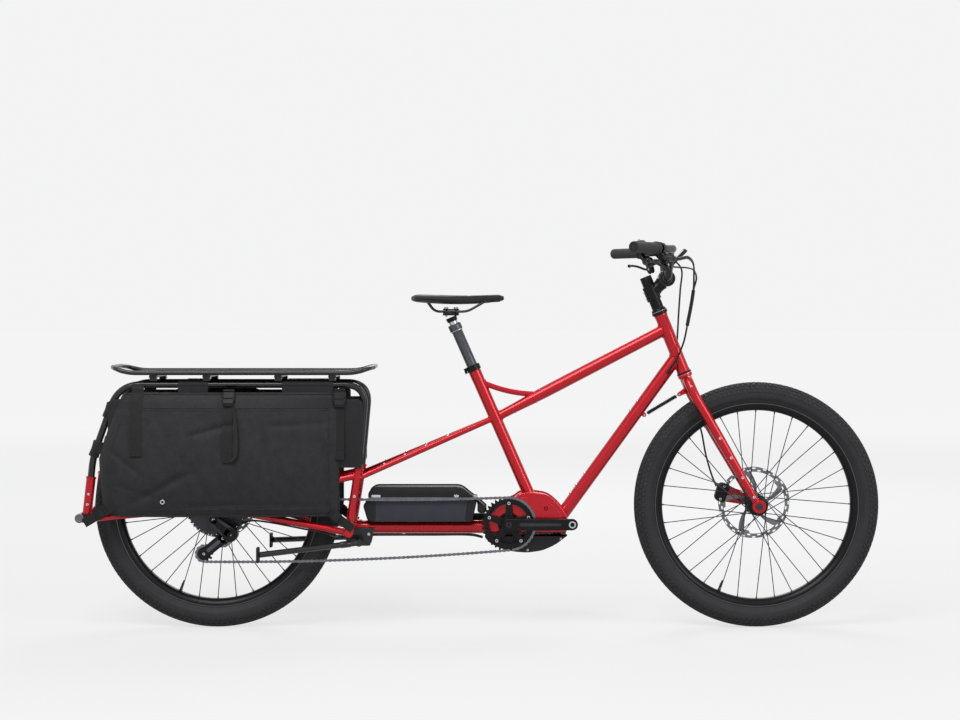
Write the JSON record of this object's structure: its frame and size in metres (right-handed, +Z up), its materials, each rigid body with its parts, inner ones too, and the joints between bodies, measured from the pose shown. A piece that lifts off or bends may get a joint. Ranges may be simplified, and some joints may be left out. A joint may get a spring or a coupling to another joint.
{
  "type": "longtail cargo bicycle",
  "caption": "Electric longtail bicycle with a mid motor, low battery, rear deck on two hoops, side bags, double kickstand, riser bar and disc brakes.",
  "frame": {"origin": "on the ground under the middle of the overall length, in the bicycle's middle plane", "axes": "+X forward, +Y to the rider's left, +Z up"},
  "size_m": [2.2286, 0.7684, 1.0919],
  "materials": {
    "frame_paint": "glossy candy red lacquer",
    "rack_paint": "semi-gloss black powder coat",
    "black_alloy": "satin black anodised",
    "bare_steel": "bare bright steel",
    "black_plastic": "fine-grained black",
    "grey_plastic": "satin blue-grey",
    "deck_sheet": "black deck sheet, lightly textured",
    "bag_cloth": "charcoal woven cloth",
    "saddle_skin": "matt black synthetic cover",
    "tyre": "matt black tyre rubber",
    "grip_rubber": "matt black"
  },
  "bodies": {
    "frame": {"head_tube": "frame_paint", "top_tube": "frame_paint", "down_tube": "frame_paint", "seat_tube": "frame_paint", "motor_shell": "frame_paint", "lower_tube": "frame_paint", "mid_stays": "frame_paint", "front_uprights": "frame_paint", "rear_uprights": "frame_paint", "rear_stays_left": "frame_paint", "rear_stays_right": "frame_paint", "rack_hoop_left": "rack_paint", "rack_hoop_right": "rack_paint", "pannier_left": "bag_cloth", "pannier_right": "bag_cloth", "deck_rail": "rack_paint", "deck_board": "deck_sheet", "motor_unit": "black_plastic", "motor_cover": "black_plastic", "battery": "grey_plastic", "battery_lid": "black_plastic", "headset_upper_cup": "black_alloy", "seatpost_outer": "black_alloy", "kickstand_bracket": "rack_paint", "rear_axle": "bare_steel", "chain": "bare_steel", "derailleur_body": "black_alloy", "rear_caliper": "black_alloy", "control_cables": "grip_rubber", "stabiliser_spring": "bare_steel"},
    "steering": {"fork": "frame_paint", "stem": "black_alloy", "handlebar": "black_alloy", "grip_left": "grip_rubber", "grip_right": "grip_rubber", "lever_clamp_left": "black_alloy", "lever_clamp_right": "black_alloy", "display": "black_plastic", "bell": "black_plastic", "front_caliper": "black_alloy"},
    "front_wheel": {"front_tyre": "tyre", "front_wheel": "black_alloy", "front_rotor": "bare_steel"},
    "rear_wheel": {"rear_tyre": "tyre", "rear_wheel": "black_alloy", "rear_rotor": "bare_steel"},
    "crank": {"crank_right": "black_alloy", "crank_left": "black_alloy", "chainring": "black_alloy"},
    "cassette": {"cassette": "bare_steel"},
    "derailleur_cage": {"derailleur_cage": "black_alloy"},
    "guide_pulley": {"guide_pulley": "black_plastic"},
    "tension_pulley": {"tension_pulley": "black_plastic"},
    "kickstand": {"kickstand": "rack_paint"},
    "brake_lever_left": {"brake_lever_left": "black_alloy"},
    "brake_lever_right": {"brake_lever_right": "black_alloy"},
    "shift_lever": {"shift_lever": "black_plastic"},
    "dropper_lever": {"dropper_lever": "black_plastic"},
    "seat": {"seatpost_inner": "black_alloy", "saddle": "saddle_skin"}
  },
  "joints": [
    {"name": "steering", "type": "hinge", "parent": "frame", "child": "steering", "pos_m": [0.53737, 0, 0.7928], "axis": [-0.3746, 0, 0.9272], "range_deg": [-55, 55], "stiffness_Nm_per_rad": 1.5, "deforming": ["control_cables", "stabiliser_spring"]},
    {"name": "front_wheel_spin", "type": "hinge", "parent": "steering", "child": "front_wheel", "pos_m": [0.77235, 0, 0.342], "axis": [0, 1, 0], "continuous": true},
    {"name": "rear_wheel_spin", "type": "hinge", "parent": "frame", "child": "rear_wheel", "pos_m": [-0.73365, 0, 0.342], "axis": [0, 1, 0], "continuous": true},
    {"name": "crank_spin", "type": "hinge", "parent": "frame", "child": "crank", "pos_m": [0.07995, 0, 0.293], "axis": [0, 1, 0], "continuous": true},
    {"name": "cassette_spin", "type": "hinge", "parent": "frame", "child": "cassette", "pos_m": [-0.73365, 0, 0.342], "axis": [0, 1, 0], "continuous": true},
    {"name": "derailleur_cage_swing", "type": "hinge", "parent": "frame", "child": "derailleur_cage", "pos_m": [-0.68865, -0.054, 0.268], "axis": [0, 1, 0], "range_deg": [-35, 12], "stiffness_Nm_per_rad": 1.2, "springref_deg": 11.46, "deforming": ["chain"]},
    {"name": "guide_pulley_spin", "type": "hinge", "parent": "derailleur_cage", "child": "guide_pulley", "pos_m": [-0.71165, -0.054, 0.2535], "axis": [0, 1, 0], "continuous": true},
    {"name": "tension_pulley_spin", "type": "hinge", "parent": "derailleur_cage", "child": "tension_pulley", "pos_m": [-0.76425, -0.054, 0.2105], "axis": [0, 1, 0], "continuous": true},
    {"name": "kickstand_swing", "type": "hinge", "parent": "frame", "child": "kickstand", "pos_m": [-0.33365, 0, 0.243], "axis": [0, -1, 0], "range_deg": [0, 104.6]},
    {"name": "brake_lever_left_pull", "type": "hinge", "parent": "steering", "child": "brake_lever_left", "pos_m": [0.49827, 0.24674, 1.00524], "axis": [0.8101, 0.5261, 0.2588], "range_deg": [0, 9], "stiffness_Nm_per_rad": 0.6, "springref_deg": -11.46},
    {"name": "brake_lever_right_pull", "type": "hinge", "parent": "steering", "child": "brake_lever_right", "pos_m": [0.49827, -0.24674, 1.00524], "axis": [-0.8101, 0.5261, -0.2588], "range_deg": [0, 9], "stiffness_Nm_per_rad": 0.6, "springref_deg": -11.46},
    {"name": "shift_lever_push", "type": "hinge", "parent": "steering", "child": "shift_lever", "pos_m": [0.5033, -0.22854, 1.02649], "axis": [0.8101, -0.5261, 0.2588], "range_deg": [0, 25], "stiffness_Nm_per_rad": 0.2, "springref_deg": -11.46},
    {"name": "dropper_lever_push", "type": "hinge", "parent": "steering", "child": "dropper_lever", "pos_m": [0.5033, 0.22854, 1.02649], "axis": [-0.8101, -0.5261, -0.2588], "range_deg": [0, 25], "stiffness_Nm_per_rad": 0.2, "springref_deg": -11.46},
    {"name": "seatpost_drop", "type": "slide", "parent": "frame", "child": "seat", "axis": [-0.4032, 0, 0.9151], "range_m": [0, 0.1]}
  ],
  "couplings": [
    {"joint": "cassette_spin", "follows": "crank_spin", "ratio": 2.4},
    {"joint": "guide_pulley_spin", "follows": "crank_spin", "ratio": -3.2727},
    {"joint": "tension_pulley_spin", "follows": "crank_spin", "ratio": 3.2727}
  ]
}
